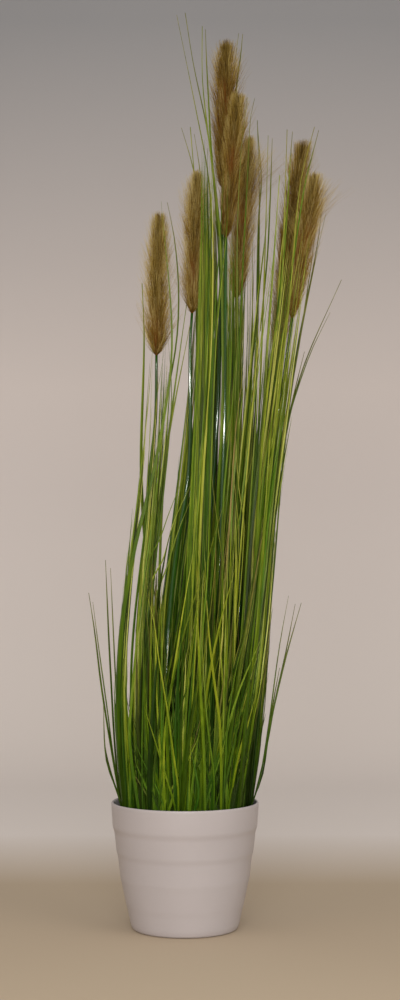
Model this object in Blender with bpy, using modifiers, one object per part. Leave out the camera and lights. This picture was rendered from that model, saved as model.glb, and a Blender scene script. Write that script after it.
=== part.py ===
"""Potted ornamental grass: an imitation foxtail grass with eight plumes, in a round white pot.

Sizes below are millimetres and the model is built in metres. X is to the right, Y goes back from the
viewer and Z is up. The origin is under the middle of the pot's base.

Every leaf and stem starts in a lane of its own, a set distance behind or before the middle. Leaves may
cross as seen from the front, and still pass clear of each other.
"""

import math
import random

import bmesh
import bpy

MM = 0.001
GAP = 0.3

# The pot. Each band of its side runs from a top height and radius to a bottom height and radius.
POT_SEGMENTS = 40
POT_WALL = 2.6
POT_HEIGHT = 124.5
POT_BANDS = (
    (122.5, 72.2, 100.0, 70.9),
    (96.5, 69.2, 76.0, 67.1),
    (72.5, 65.7, 50.0, 63.3),
    (45.5, 61.9, 25.0, 57.9),
    (20.5, 56.3, 5.0, 53.4),
)
RIM_ROUNDING = 0.9
RIM_DROP = 1.0
BASE_RADIUS = 49.0
BASE_ROUNDING = 2.6
BASE_RISE = 1.3
FLOOR_HEIGHT = 4.0
FLOOR_ROUNDING = 2.6
INSIDE_WAIST = (59.2, 45.0)
INSIDE_FOOT = (50.4, 7.0)

# The dark plug that the grass stands in.
FILLER_SEGMENTS = 28
FILLER_TOP = 106.0
FILLER_EDGE = 1.0
FOOT = FILLER_TOP + GAP

# How the grass spreads from front to back: lanes past the upright one lean out, and all of them sway.
GRASS_TOP = 895.0
UPRIGHT_LANE = 28.0
OUTER_LANE = 52.0
FAN_REACH = 55.0
FAN_HEIGHT = 0.35
FAN_CURVE = 1.5
SWAY = 6.0
SWAY_WIDTH = 22.0
SWAY_HEIGHT = 140.0
SWAY_GROWN = 300.0
SWAY_CALM = 560.0
SWAY_CALM_SHARE = 0.4

# Name, lane, points of the stem from its foot up, and the top of the plume that it carries.
STEM_RADIUS = 2.3
STEM_TOP_RADIUS = 1.1
STEM_TAPER = 1.5
STEM_BEVEL = 1
STEM_FEWEST_STEPS = 6
PLUMES = (
    ("1", 0.0, ((-45, FOOT), (-42, 223), (-39, 321), (-36, 429), (-29, 500), (-28, 563)), (-25, 700)),
    ("2", 0.0, ((-22, FOOT), (-17, 282), (-10, 356), (4, 454), (5, 571), (7, 604)), (12, 741)),
    ("3", 6.0, ((5, FOOT), (13, 272), (21, 361), (32, 508), (35, 616), (37, 729)), (41, 871)),
    ("4", -20.0, ((22, FOOT), (32, 303), (38, 489), (39, 584), (40, 675)), (52, 813)),
    ("5", 20.0, ((44, FOOT), (52, 242), (54, 341), (51, 539), (51, 622)), (64, 780)),
    ("6", 0.0, ((50, FOOT), (61, 263), (76, 439), (90, 586), (96, 632)), (116, 770)),
    ("7", -22.0, ((53, FOOT), (65, 264), (81, 419), (97, 545), (104, 597)), (126, 734)),
    ("8", 24.0, ((55, FOOT), (60, 261), (67, 361), (75, 450), (91, 566)), (109, 706)),
)

# A plume's radius along its length, as the bristles' roots and as their tips.
PLUME_SIDES = 12
PLUME_TIERS = (
    (0.00, 1.6, 5.4),
    (0.11, 3.6, 9.8),
    (0.25, 6.0, 12.4),
    (0.42, 7.0, 13.2),
    (0.60, 7.4, 13.2),
    (0.78, 7.6, 12.4),
)
PLUME_CROWN = (0.95, 7.4, 9.4)
PLUME_TOP_RADIUS = 7.0
PLUME_FOOT_GAP = 0.8
LOCK_REACH = 0.72
LOCK_VALLEY = 0.16
LOCK_RISE = 8.0
LOCK_FULL_ROOT = 6.0
TIER_TURN = 0.8

# Lane, width, and points from the foot up, for the leaves that stand clear of the tuft.
LEAVES = (
    (-4.0, 3.2, ((15, FOOT), (18, 320), (23, 440), (28, 600), (28, 664), (23, 737), (12, 796), (-8, 894))),
    (27.3, 3.0, ((27, FOOT), (34, 321), (38, 470), (36, 620), (25, 771), (8, 856), (0, 906))),
    (-27.2, 3.0, ((20, FOOT), (30, 322), (39, 500), (34, 679), (20, 795), (17, 829), (17, 877))),
    (32.5, 3.0, ((5, FOOT), (12, 271), (20, 500), (20, 571), (15, 671), (5, 795))),
    (20.0, 3.0, ((36, FOOT), (40, 420), (38, 618), (40, 737), (46, 826), (53, 884))),
    (-33.2, 3.0, ((44, FOOT), (49, 322), (51, 514), (50, 658), (54, 753), (60, 804))),
    (36.5, 3.2, ((46, FOOT), (65, 320), (71, 522), (75, 720), (73, 808))),
    (11.5, 4.8, ((54, FOOT), (66, 321), (72, 469), (78, 627), (82, 780))),
    (-14.5, 3.4, ((50, FOOT), (62, 300), (69, 404), (73, 460), (82, 530), (89, 586), (93, 652), (101, 718))),
    (-16.2, 4.4, ((52, FOOT), (72, 419), (79, 555), (84, 623), (92, 735))),
    (-38.3, 3.2, ((44, FOOT), (79, 418), (92, 541), (100, 616), (109, 715), (122, 767))),
    (-39.3, 3.6, ((38, FOOT), (64, 323), (73, 465), (81, 545), (91, 614), (94, 690), (96, 763))),
    (2.6, 3.0, ((61, FOOT), (88, 400), (103, 518), (113, 577), (123, 645), (132, 715))),
    (9.6, 3.0, ((60, FOOT), (85, 321), (98, 469), (110, 558), (131, 668), (139, 703))),
    (-3.0, 3.2, ((62, FOOT), (78, 273), (86, 380), (96, 468), (115, 547), (153, 635))),
    (-3.4, 3.2, ((-41, FOOT), (-38, 250), (-37, 340), (-42, 419), (-43, 468), (-40, 576), (-42, 632))),
    (5.0, 3.2, ((-38, FOOT), (-34, 302), (-27, 400), (-12, 518), (2, 616))),
    (-5.0, 3.2, ((-29, FOOT), (-26, 302), (-20, 449), (-12, 502), (5, 590))),
    (-16.0, 5.2, ((-58, FOOT), (-65, 186), (-63, 283), (-52, 361), (-27, 467), (-13, 570), (-23, 709))),
    (-2.5, 3.4, ((-60, FOOT), (-66, 140), (-81, 233), (-88, 290), (-94, 329))),
    (2.0, 3.2, ((-59, FOOT), (-66, 132), (-77, 165), (-80, 223))),
    (4.0, 3.2, ((-57, FOOT), (-66, 145), (-73, 253), (-78, 361))),
    (-6.0, 3.4, ((60, FOOT), (72, 141), (83, 199), (98, 263), (114, 319))),
    (6.5, 3.4, ((60, FOOT), (72, 139), (80, 184), (92, 272), (102, 326))),
    (-44.8, 4.6, ((-9, FOOT), (-19, 154), (-26, 178), (-33, 207), (-38, 245))),
    (-45.6, 4.4, ((-8, FOOT), (-9, 158), (-13, 185), (-18, 220), (-27, 276), (-36, 345))),
    (-51.5, 4.8, ((19, FOOT), (18, 170), (16, 210), (13, 276), (12, 322))),
    (-50.6, 4.8, ((35, FOOT), (34, 200), (28, 249), (24, 283), (21, 323))),
)
LEAF_THICKNESS = 0.7
LEAF_TIP_THINNESS = 0.5
LEAF_STEP = 62.0
LEAF_FEWEST_STEPS = 5
LEAF_TAPER = 1.7

# The bunches of leaves that grow side by side: lane, number of leaves, width at the foot and at the top,
# lowest and highest tip, and the bunch's middle line from the foot up.
BUNCHES = (
    (-48.0, 6, (45, 59), (285, 375), ((-19, FOOT), (-20, 228), (-18, 323), (-17, 375))),
    (-42.0, 6, (46, 58), (304, 417), ((24, FOOT), (30, 227), (37, 323), (43, 417))),
    (-36.0, 6, (29, 18), (640, 760), ((5, FOOT), (12, 274), (18, 418), (22, 513), (27, 684), (25, 760))),
    (-30.0, 6, (33, 24), (560, 715), ((38, FOOT), (53, 274), (64, 418), (74, 515), (88, 640), (96, 715))),
    (-36.0, 5, (22, 20), (520, 690), ((41, FOOT), (65, 274), (74, 399), (86, 485), (97, 590), (112, 690))),
    (-11.0, 6, (33, 20), (430, 585), ((-43, FOOT), (-48, 224), (-44, 302), (-30, 440), (-20, 585))),
    (-10.0, 5, (29, 18), (560, 685), ((18, FOOT), (26, 273), (36, 419), (41, 517), (43, 685))),
    (14.5, 5, (29, 16), (520, 640), ((-25, FOOT), (-19, 272), (-6, 380), (3, 469), (12, 573), (16, 640))),
    (14.5, 5, (27, 18), (430, 575), ((51, FOOT), (59, 180), (67, 272), (73, 371), (78, 469), (87, 575))),
    (30.0, 6, (37, 22), (540, 690), ((27, FOOT), (43, 271), (51, 420), (61, 620), (63, 690))),
    (36.0, 5, (27, 14), (321, 496), ((-33, FOOT), (-42, 270), (-38, 361), (-26, 496))),
    (35.0, 5, (22, 18), (600, 750), ((9, FOOT), (18, 321), (22, 471), (22, 572), (19, 750))),
    (42.0, 6, (39, 43), (280, 437), ((27, FOOT), (49, 270), (62, 361), (70, 437))),
    (48.0, 6, (33, 43), (259, 376), ((-21, FOOT), (-28, 269), (-32, 376))),
)
BUNCH_THICKNESS = 2.2
BUNCH_TIP_THINNESS = 0.4
BUNCH_PLEAT = 0.7
BUNCH_STEP = 68.0
BUNCH_PARTS_AT = (0.35, 0.7)
BUNCH_LEAF_WIDTH = 5.0
BUNCH_LEAF_SPREAD = 0.92


def blend(a, b, share):
    return a + (b - a) * share


def share_between(value, low, high):
    return min(1.0, max(0.0, (value - low) / (high - low)))


def eased(share):
    return share * share * (3.0 - 2.0 * share)


def curve_at(points, z):
    """The X of a smooth line through (x, z) points at height z."""
    if z <= points[0][1]:
        return points[0][0]
    if z >= points[-1][1]:
        return points[-1][0]
    slopes = []
    for i in range(len(points)):
        before = points[max(i - 1, 0)]
        after = points[min(i + 1, len(points) - 1)]
        slopes.append((after[0] - before[0]) / (after[1] - before[1]))
    i = next(k for k in range(len(points) - 1) if z <= points[k + 1][1])
    (x0, z0), (x1, z1) = points[i], points[i + 1]
    run = z1 - z0
    t = (z - z0) / run
    return (
        x0 * (2 * t**3 - 3 * t**2 + 1)
        + slopes[i] * run * (t**3 - 2 * t**2 + t)
        + x1 * (3 * t**2 - 2 * t**3)
        + slopes[i + 1] * run * (t**3 - t**2)
    )


def settle(x, lane, z):
    """A point of a lane, moved to where the lane runs: outer lanes lean out, and all of them sway."""
    height = max(0.0, (z - FOOT) / (GRASS_TOP - FOOT))
    outer = max(0.0, abs(lane) - UPRIGHT_LANE) / (OUTER_LANE - UPRIGHT_LANE)
    fan = FAN_REACH * outer**2 * (height / FAN_HEIGHT) ** FAN_CURVE
    calm = blend(1.0, SWAY_CALM_SHARE, share_between(z, SWAY_GROWN, SWAY_CALM))
    rise = eased(share_between(z, FOOT, SWAY_GROWN)) * calm
    sway = SWAY * rise * math.sin(x / SWAY_WIDTH + z / SWAY_HEIGHT)
    return (x * MM, (lane + math.copysign(fan, lane) + sway) * MM, z * MM)


def make_material(name, colour, roughness):
    material = bpy.data.materials.new(name)
    material.use_nodes = True
    shader = material.node_tree.nodes["Principled BSDF"]
    shader.inputs["Base Color"].default_value = (*colour, 1.0)
    shader.inputs["Roughness"].default_value = roughness
    shader.inputs["Metallic"].default_value = 0.0
    return material


def add_object(name, data, material):
    obj = bpy.data.objects.new(name, data)
    data.materials.append(material)
    part.objects.link(obj)
    return obj


def add_mesh(name, points, faces, material, smooth=False):
    """A closed mesh with its faces turned outward."""
    mesh = bpy.data.meshes.new(name)
    mesh.from_pydata(points, [], faces)
    shape = bmesh.new()
    shape.from_mesh(mesh)
    bmesh.ops.recalc_face_normals(shape, faces=shape.faces)
    shape.to_mesh(mesh)
    shape.free()
    for face in mesh.polygons:
        face.use_smooth = smooth
    return add_object(name, mesh, material)


def add_turned(name, profile, segments, material):
    """A round piece turned from (radius, height) points, from the axis back to the axis."""
    mesh = bpy.data.meshes.new(name)
    points = [(radius * MM, 0.0, height * MM) for radius, height in profile]
    mesh.from_pydata(points, [(i, i + 1) for i in range(len(points) - 1)], [])
    obj = add_object(name, mesh, material)
    turn = obj.modifiers.new("Turn", "SCREW")
    turn.axis = "Z"
    turn.angle = math.tau
    turn.steps = segments
    turn.render_steps = segments
    turn.use_merge_vertices = True
    turn.merge_threshold = 0.00001
    turn.use_smooth_shade = True
    return obj


def make_pot(material):
    top_radius = POT_BANDS[0][1]
    rim_inside = top_radius - POT_WALL
    profile = [
        (0.0, FLOOR_HEIGHT),
        (INSIDE_FOOT[0] - FLOOR_ROUNDING, FLOOR_HEIGHT),
        INSIDE_FOOT,
        INSIDE_WAIST,
        (rim_inside, POT_HEIGHT - RIM_DROP),
        (rim_inside + RIM_ROUNDING, POT_HEIGHT),
        (top_radius - RIM_ROUNDING, POT_HEIGHT),
    ]
    for top, radius, bottom, bottom_radius in POT_BANDS:
        profile += [(radius, top), (bottom_radius, bottom)]
    profile += [(BASE_RADIUS + BASE_ROUNDING, BASE_RISE), (BASE_RADIUS, 0.0), (0.0, 0.0)]
    add_turned("pot", profile, POT_SEGMENTS, material)


def inside_radius(z):
    """The pot's inner radius at height z, above its waist."""
    rim = (POT_BANDS[0][1] - POT_WALL, POT_HEIGHT - RIM_DROP)
    return blend(INSIDE_WAIST[0], rim[0], share_between(z, INSIDE_WAIST[1], rim[1]))


def make_filler(material):
    edge = inside_radius(FILLER_TOP - FILLER_EDGE) - 2 * GAP
    profile = [
        (0.0, FILLER_TOP),
        (edge - FILLER_EDGE, FILLER_TOP),
        (edge, FILLER_TOP - FILLER_EDGE),
        (INSIDE_WAIST[0] - 2 * GAP, INSIDE_WAIST[1]),
        (INSIDE_FOOT[0] - 2 * GAP, INSIDE_FOOT[1] + GAP),
        (INSIDE_FOOT[0] - FLOOR_ROUNDING - GAP, FLOOR_HEIGHT + GAP),
        (0.0, FLOOR_HEIGHT + GAP),
    ]
    add_turned("filler", profile, FILLER_SEGMENTS, material)


def stem_line(lane, points):
    """Even steps up a stem, as settled points in metres."""
    low, high = points[0][1] + GAP, points[-1][1]
    steps = max(STEM_FEWEST_STEPS, round((high - low) / LEAF_STEP))
    line = []
    for i in range(steps + 1):
        z = blend(low, high, i / steps)
        line.append(settle(curve_at(points, z), lane, z))
    return line


def make_stem(name, line, material):
    curve = bpy.data.curves.new(name, "CURVE")
    curve.dimensions = "3D"
    curve.bevel_depth = STEM_RADIUS * MM
    curve.bevel_resolution = STEM_BEVEL
    curve.use_fill_caps = True
    spline = curve.splines.new("POLY")
    spline.points.add(len(line) - 1)
    for i, place in enumerate(line):
        spline.points[i].co = (*place, 1.0)
        share = (i / (len(line) - 1)) ** STEM_TAPER
        spline.points[i].radius = blend(1.0, STEM_TOP_RADIUS / STEM_RADIUS, share)
    spline.use_smooth = True
    add_object(name, curve, material)


def ring_about(centre, radii, lifts, turn):
    """A ring of points about a centre, with a radius and a lift for each side."""
    ring = []
    for i, (radius, lift) in enumerate(zip(radii, lifts)):
        angle = math.tau * (i + turn) / len(radii)
        x = centre[0] + math.cos(angle) * radius * MM
        y = centre[1] + math.sin(angle) * radius * MM
        ring.append((x, y, centre[2] + lift * MM))
    return ring


def make_plume(name, lane, foot, tip, material):
    """A bottle-brush plume: tiers of bristle locks that flare up and out, and a flat brushed top."""
    rings = []

    def centre(share):
        x = blend(foot[0], tip[0], share)
        z = blend(foot[1] + PLUME_FOOT_GAP, tip[1], share)
        return settle(x, lane, z)

    level = [0.0] * PLUME_SIDES
    for number, (share, root, reach) in enumerate(PLUME_TIERS):
        turn = TIER_TURN * number
        rings.append(ring_about(centre(share), [root] * PLUME_SIDES, level, turn))
        locks = [side % 2 for side in range(PLUME_SIDES)]
        radii = [reach if lock else blend(root, reach, LOCK_VALLEY) for lock in locks]
        lifts = [LOCK_RISE * min(1.0, root / LOCK_FULL_ROOT) if lock else 0.0 for lock in locks]
        run = (PLUME_TIERS + (PLUME_CROWN,))[number + 1][0] - share
        rings.append(ring_about(centre(share + run * LOCK_REACH), radii, lifts, turn))
    share, root, reach = PLUME_CROWN
    rings.append(ring_about(centre(share), [root] * PLUME_SIDES, level, turn))
    rings.append(ring_about(centre(1.0), [PLUME_TOP_RADIUS] * PLUME_SIDES, level, turn))
    points = [point for ring in rings for point in ring]
    faces = [tuple(range(PLUME_SIDES))]
    faces.append(tuple(range(len(points) - PLUME_SIDES, len(points))))
    for level in range(len(rings) - 1):
        for side in range(PLUME_SIDES):
            after = (side + 1) % PLUME_SIDES
            low, high = level * PLUME_SIDES, (level + 1) * PLUME_SIDES
            faces.append((low + side, low + after, high + after, high + side))
    add_mesh(name, points, faces, material)


def taper(share):
    return 1.0 - share**LEAF_TAPER


def make_leaf(name, lane, width, line, material):
    """One leaf: a thin three-sided blade with its ridge to the front, drawn out to a point."""
    low, high = line[0][1], line[-1][1]
    steps = max(LEAF_FEWEST_STEPS, round((high - low) / LEAF_STEP))
    points = []
    for i in range(steps):
        share = i / steps
        z = blend(low, high, share)
        x = curve_at(line, z)
        lean = (curve_at(line, z + 1.0) - curve_at(line, z - 1.0)) / 2.0 if i else 0.0
        half = 0.5 * width * taper(share) / math.hypot(1.0, lean)
        thick = LEAF_THICKNESS * blend(1.0, LEAF_TIP_THINNESS, share)
        points.append(settle(x - half, lane + thick / 2, z + half * lean))
        points.append(settle(x + half, lane + thick / 2, z - half * lean))
        points.append(settle(x, lane - thick / 2, z))
    points.append(settle(line[-1][0], lane, high))
    faces = [(0, 1, 2)]
    for i in range(steps - 1):
        for side in range(3):
            after = (side + 1) % 3
            faces.append((3 * i + side, 3 * i + after, 3 * i + 3 + after, 3 * i + 3 + side))
    for side in range(3):
        faces.append((3 * steps - 3 + side, 3 * steps - 3 + (side + 1) % 3, 3 * steps))
    add_mesh(name, points, faces, material)


def make_bunch(name, lane, count, widths, tips, line, material, chance):
    """Leaves side by side in one pleated sheet, which parts into single leaves higher up."""

    def across(place, z):
        """The X of a place in the bunch, from 0 at its left side to its number of leaves at its right."""
        width = blend(*widths, share_between(z, FOOT, tips[1]))
        return curve_at(line, z) + width * (place / count - 0.5)

    points = []
    index = {}
    levels = [FOOT]
    while levels[-1] + BUNCH_STEP < tips[1]:
        levels.append(levels[-1] + BUNCH_STEP)
    tip_levels = [blend(*tips, chance.random()) for _ in range(count)]
    tip_levels[chance.randrange(count)] = tips[1]
    last = [max(k for k, z in enumerate(levels) if z < tip - BUNCH_STEP / 3) for tip in tip_levels]
    parted = [-1] + [0] * (count - 1) + [-1]
    for edge in range(1, count):
        most = min(last[edge - 1], last[edge]) - 1
        parted[edge] = max(1, min(most, round(most * blend(*BUNCH_PARTS_AT, chance.random()))))

    def pair(leaf, side, level):
        """The front and back points at one side of a leaf, shared with its neighbour until they part."""
        edge = leaf + side
        joined = level <= parted[edge]
        key = (edge, level) if joined else (leaf, side, level)
        if key not in index:
            z = levels[level]
            place = across(edge, z)
            if not joined:
                middle = across(leaf + 0.5, z)
                share = (z - FOOT) / (tip_levels[leaf] - FOOT)
                half = 0.5 * BUNCH_LEAF_WIDTH * taper(share)
                half = min(half, BUNCH_LEAF_SPREAD * abs(place - middle))
                place = middle + math.copysign(half, place - middle)
            thick = BUNCH_THICKNESS * blend(1.0, BUNCH_TIP_THINNESS, share_between(z, FOOT, tips[1]))
            pleat = BUNCH_PLEAT * (1 if edge % 2 else -1)
            index[key] = len(points)
            points.append(settle(place, lane + pleat - thick / 2, z))
            points.append(settle(place, lane + pleat + thick / 2, z))
        return index[key], index[key] + 1

    faces = []
    for leaf in range(count):
        front_left, back_left = pair(leaf, 0, 0)
        front_right, back_right = pair(leaf, 1, 0)
        faces.append((front_left, front_right, back_right, back_left))
        for level in range(last[leaf]):
            fl, bl = pair(leaf, 0, level)
            fr, br = pair(leaf, 1, level)
            fl_up, bl_up = pair(leaf, 0, level + 1)
            fr_up, br_up = pair(leaf, 1, level + 1)
            faces.append((fl, fr, fr_up, fl_up))
            faces.append((br, bl, bl_up, br_up))
            if level + 1 > parted[leaf]:
                faces.append((bl, fl, fl_up, bl_up))
            if level + 1 > parted[leaf + 1]:
                faces.append((fr, br, br_up, fr_up))
        fl, bl = pair(leaf, 0, last[leaf])
        fr, br = pair(leaf, 1, last[leaf])
        tip = len(points)
        top = tip_levels[leaf]
        points.append(settle(across(leaf + 0.5, top), lane, top))
        faces += [(fl, fr, tip), (fr, br, tip), (br, bl, tip), (bl, fl, tip)]
    add_mesh(name, points, faces, material)


for old in list(bpy.data.objects):
    bpy.data.objects.remove(old, do_unlink=True)

part = bpy.data.collections.new("potted_grass")
bpy.context.scene.collection.children.link(part)

white = make_material("pot_white", (0.62, 0.57, 0.54), 0.4)
dark = make_material("filler_dark", (0.018, 0.015, 0.011), 0.9)
stem_green = make_material("stem_green", (0.022, 0.055, 0.016), 0.3)
leaf_green = make_material("leaf_green", (0.075, 0.13, 0.017), 0.42)
plume_brown = make_material("plume_tan", (0.19, 0.125, 0.04), 0.75)

make_pot(white)
make_filler(dark)
for label, stem_lane, stem_points, plume_tip in PLUMES:
    make_stem("stem_" + label, stem_line(stem_lane, stem_points), stem_green)
    make_plume("plume_" + label, stem_lane, stem_points[-1], plume_tip, plume_brown)
for number, (leaf_lane, leaf_width, leaf_points) in enumerate(LEAVES, 1):
    make_leaf(f"leaf_{number:02d}", leaf_lane, leaf_width, leaf_points, leaf_green)
dice = random.Random(11)
for number, (bunch_lane, leaves, bunch_widths, bunch_tips, bunch_line) in enumerate(BUNCHES, 1):
    name = f"leaf_bunch_{number:02d}"
    make_bunch(name, bunch_lane, leaves, bunch_widths, bunch_tips, bunch_line, leaf_green, dice)
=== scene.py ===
"""Looks for the potted ornamental grass: fine leaves, glossy stems, bristle plumes and a moulded pot.

Sizes of the plant are millimetres, as in the part's source. The meshes and the studio are in metres. X is to
the right, Y goes back from the viewer and Z is up. Every leaf, stem and plume lies where its solid is.
"""

import math
import random
from collections import namedtuple

import bpy
import numpy as np
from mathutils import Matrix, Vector


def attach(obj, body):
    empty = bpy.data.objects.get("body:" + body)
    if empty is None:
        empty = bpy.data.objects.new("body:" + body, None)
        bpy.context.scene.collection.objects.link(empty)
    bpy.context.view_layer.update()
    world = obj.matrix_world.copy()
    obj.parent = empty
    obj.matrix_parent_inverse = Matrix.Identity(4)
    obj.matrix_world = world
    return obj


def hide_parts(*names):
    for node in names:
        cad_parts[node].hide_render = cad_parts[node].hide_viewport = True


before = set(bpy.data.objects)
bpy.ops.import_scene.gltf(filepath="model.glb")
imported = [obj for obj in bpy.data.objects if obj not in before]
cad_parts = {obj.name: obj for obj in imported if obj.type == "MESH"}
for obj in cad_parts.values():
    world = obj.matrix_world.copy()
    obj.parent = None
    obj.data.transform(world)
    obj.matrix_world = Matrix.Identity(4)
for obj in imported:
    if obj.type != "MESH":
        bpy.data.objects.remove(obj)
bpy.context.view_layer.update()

MM = 0.001

# The height at which every stem and leaf comes out of the filler, as in the solids.
FOOT = 106.3

# The pot's outline as radius and height, as in the solid. Bands: top height, radius, bottom height, radius.
POT_SIDES = 144
POT_INSIDE = ((0.0, 4.0), (47.8, 4.0), (50.4, 7.0), (59.2, 45.0), (69.6, 122.9))
POT_RIM = ((70.4, 124.5), (71.6, 124.5), (72.2, 123.4))
POT_BANDS = (
    (122.5, 72.2, 100.0, 70.9),
    (96.5, 69.2, 76.0, 67.1),
    (72.5, 65.7, 50.0, 63.3),
    (45.5, 61.9, 25.0, 57.9),
    (20.5, 56.3, 5.0, 53.4),
)
POT_BASE = ((51.6, 1.3), (49.0, 0.0), (0.0, 0.0))
POT_ROUNDING = 2.0
ROUNDING_SHARE = 0.45
ROUNDING_STEPS = 4
STEP_SOFTNESS = 0.7

# How the grass spreads from front to back, as in the solids. A lane is how far back a leaf or stem starts.
GRASS_TOP = 895.0
UPRIGHT_LANE = 28.0
OUTER_LANE = 52.0
FAN_REACH = 55.0
FAN_HEIGHT = 0.35
FAN_CURVE = 1.5
SWAY = 6.0
SWAY_WIDTH = 22.0
SWAY_HEIGHT = 140.0
SWAY_GROWN = 300.0
SWAY_CALM = 560.0
SWAY_CALM_SHARE = 0.4

# Name, lane, points of the stem from its foot up, and the top of its plume.
PLUMES = (
    ("1", 0.0, ((-45, FOOT), (-42, 223), (-39, 321), (-36, 429), (-29, 500), (-28, 563)), (-25, 700)),
    ("2", 0.0, ((-22, FOOT), (-17, 282), (-10, 356), (4, 454), (5, 571), (7, 604)), (12, 741)),
    ("3", 6.0, ((5, FOOT), (13, 272), (21, 361), (32, 508), (35, 616), (37, 729)), (41, 871)),
    ("4", -20.0, ((22, FOOT), (32, 303), (38, 489), (39, 584), (40, 675)), (52, 813)),
    ("5", 20.0, ((44, FOOT), (52, 242), (54, 341), (51, 539), (51, 622)), (64, 780)),
    ("6", 0.0, ((50, FOOT), (61, 263), (76, 439), (90, 586), (96, 632)), (116, 770)),
    ("7", -22.0, ((53, FOOT), (65, 264), (81, 419), (97, 545), (104, 597)), (126, 734)),
    ("8", 24.0, ((55, FOOT), (60, 261), (67, 361), (75, 450), (91, 566)), (109, 706)),
)

# Lane, width, tone from dark to light, dryness, and points from the foot up, for the single leaves.
LEAVES = (
    (-4.0, 2.6, 0.22, 0.5, (
        (15, FOOT), (18, 320), (23, 440), (28, 600), (28, 664), (23, 737), (12, 796), (-8, 894),
    )),
    (27.3, 2.6, 0.22, 0.5, ((27, FOOT), (34, 321), (38, 470), (36, 620), (25, 771), (8, 856), (0, 906))),
    (-27.2, 3.0, 0.35, 0.3, (
        (20, FOOT), (28, 322), (32, 420), (36, 490), (37, 560), (34, 679), (20, 795), (17, 829), (17, 877),
    )),
    (32.5, 3.0, 0.45, 0.1, ((5, FOOT), (12, 271), (20, 500), (20, 571), (15, 671), (5, 795))),
    (20.0, 2.2, 0.25, 0.5, ((36, FOOT), (40, 420), (38, 618), (40, 737), (46, 826), (53, 884))),
    (-33.2, 2.0, 0.18, 0.5, ((44, FOOT), (49, 322), (51, 514), (50, 658), (54, 753), (60, 804))),
    (36.5, 2.2, 0.15, 0.3, ((46, FOOT), (65, 320), (71, 522), (75, 720), (73, 808))),
    (11.5, 3.2, 0.50, 0.3, ((54, FOOT), (66, 321), (72, 469), (78, 627), (82, 780))),
    (-14.5, 2.8, 0.75, 0.2, (
        (50, FOOT), (62, 300), (69, 404), (73, 460), (82, 530), (89, 586), (93, 652), (101, 718),
    )),
    (-16.2, 3.4, 0.62, 0.1, ((52, FOOT), (72, 419), (79, 555), (84, 623), (92, 735))),
    (-38.3, 2.2, 0.45, 0.6, ((44, FOOT), (79, 418), (92, 541), (100, 616), (109, 715), (122, 767))),
    (-39.3, 2.4, 0.40, 0.5, ((38, FOOT), (64, 323), (73, 465), (81, 545), (91, 614), (94, 690), (96, 763))),
    (2.6, 2.2, 0.20, 0.6, ((61, FOOT), (88, 400), (103, 518), (113, 577), (123, 645), (132, 715))),
    (9.6, 2.0, 0.25, 0.6, ((60, FOOT), (85, 321), (98, 469), (110, 558), (131, 668), (139, 703))),
    (-3.0, 1.9, 0.20, 0.6, ((62, FOOT), (78, 273), (86, 380), (96, 468), (115, 547), (153, 635))),
    (-3.4, 3.2, 0.40, 0.2, (
        (-41, FOOT), (-38, 250), (-37, 340), (-42, 419), (-43, 468), (-40, 576), (-42, 632),
    )),
    (5.0, 3.2, 0.45, 0.2, ((-38, FOOT), (-34, 302), (-27, 400), (-12, 518), (2, 616))),
    (-5.0, 3.2, 0.55, 0.3, ((-29, FOOT), (-26, 302), (-20, 449), (-12, 502), (5, 590))),
    (-16.0, 5.2, 0.28, 0.2, (
        (-58, FOOT), (-65, 186), (-63, 283), (-52, 361), (-27, 467), (-13, 570), (-23, 709),
    )),
    (-2.5, 1.9, 0.35, 0.4, ((-60, FOOT), (-66, 140), (-81, 233), (-88, 290), (-94, 329))),
    (2.0, 1.7, 0.35, 0.4, ((-59, FOOT), (-66, 132), (-77, 165), (-80, 223))),
    (4.0, 1.9, 0.30, 0.4, ((-57, FOOT), (-66, 145), (-73, 253), (-78, 361))),
    (-6.0, 1.8, 0.35, 0.5, ((60, FOOT), (72, 141), (83, 199), (98, 263), (114, 319))),
    (6.5, 1.7, 0.35, 0.5, ((60, FOOT), (72, 139), (80, 184), (92, 272), (102, 326))),
    (-44.8, 2.4, 0.85, 0.1, ((-9, FOOT), (-19, 154), (-26, 178), (-33, 207), (-38, 245))),
    (-45.6, 2.6, 0.85, 0.1, ((-8, FOOT), (-9, 158), (-13, 185), (-18, 220), (-27, 276), (-36, 345))),
    (-51.5, 3.8, 0.60, 0.1, ((19, FOOT), (18, 170), (16, 210), (13, 276), (12, 322))),
    (-50.6, 2.4, 0.80, 0.1, ((35, FOOT), (34, 200), (28, 249), (24, 283), (21, 323))),
)

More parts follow.
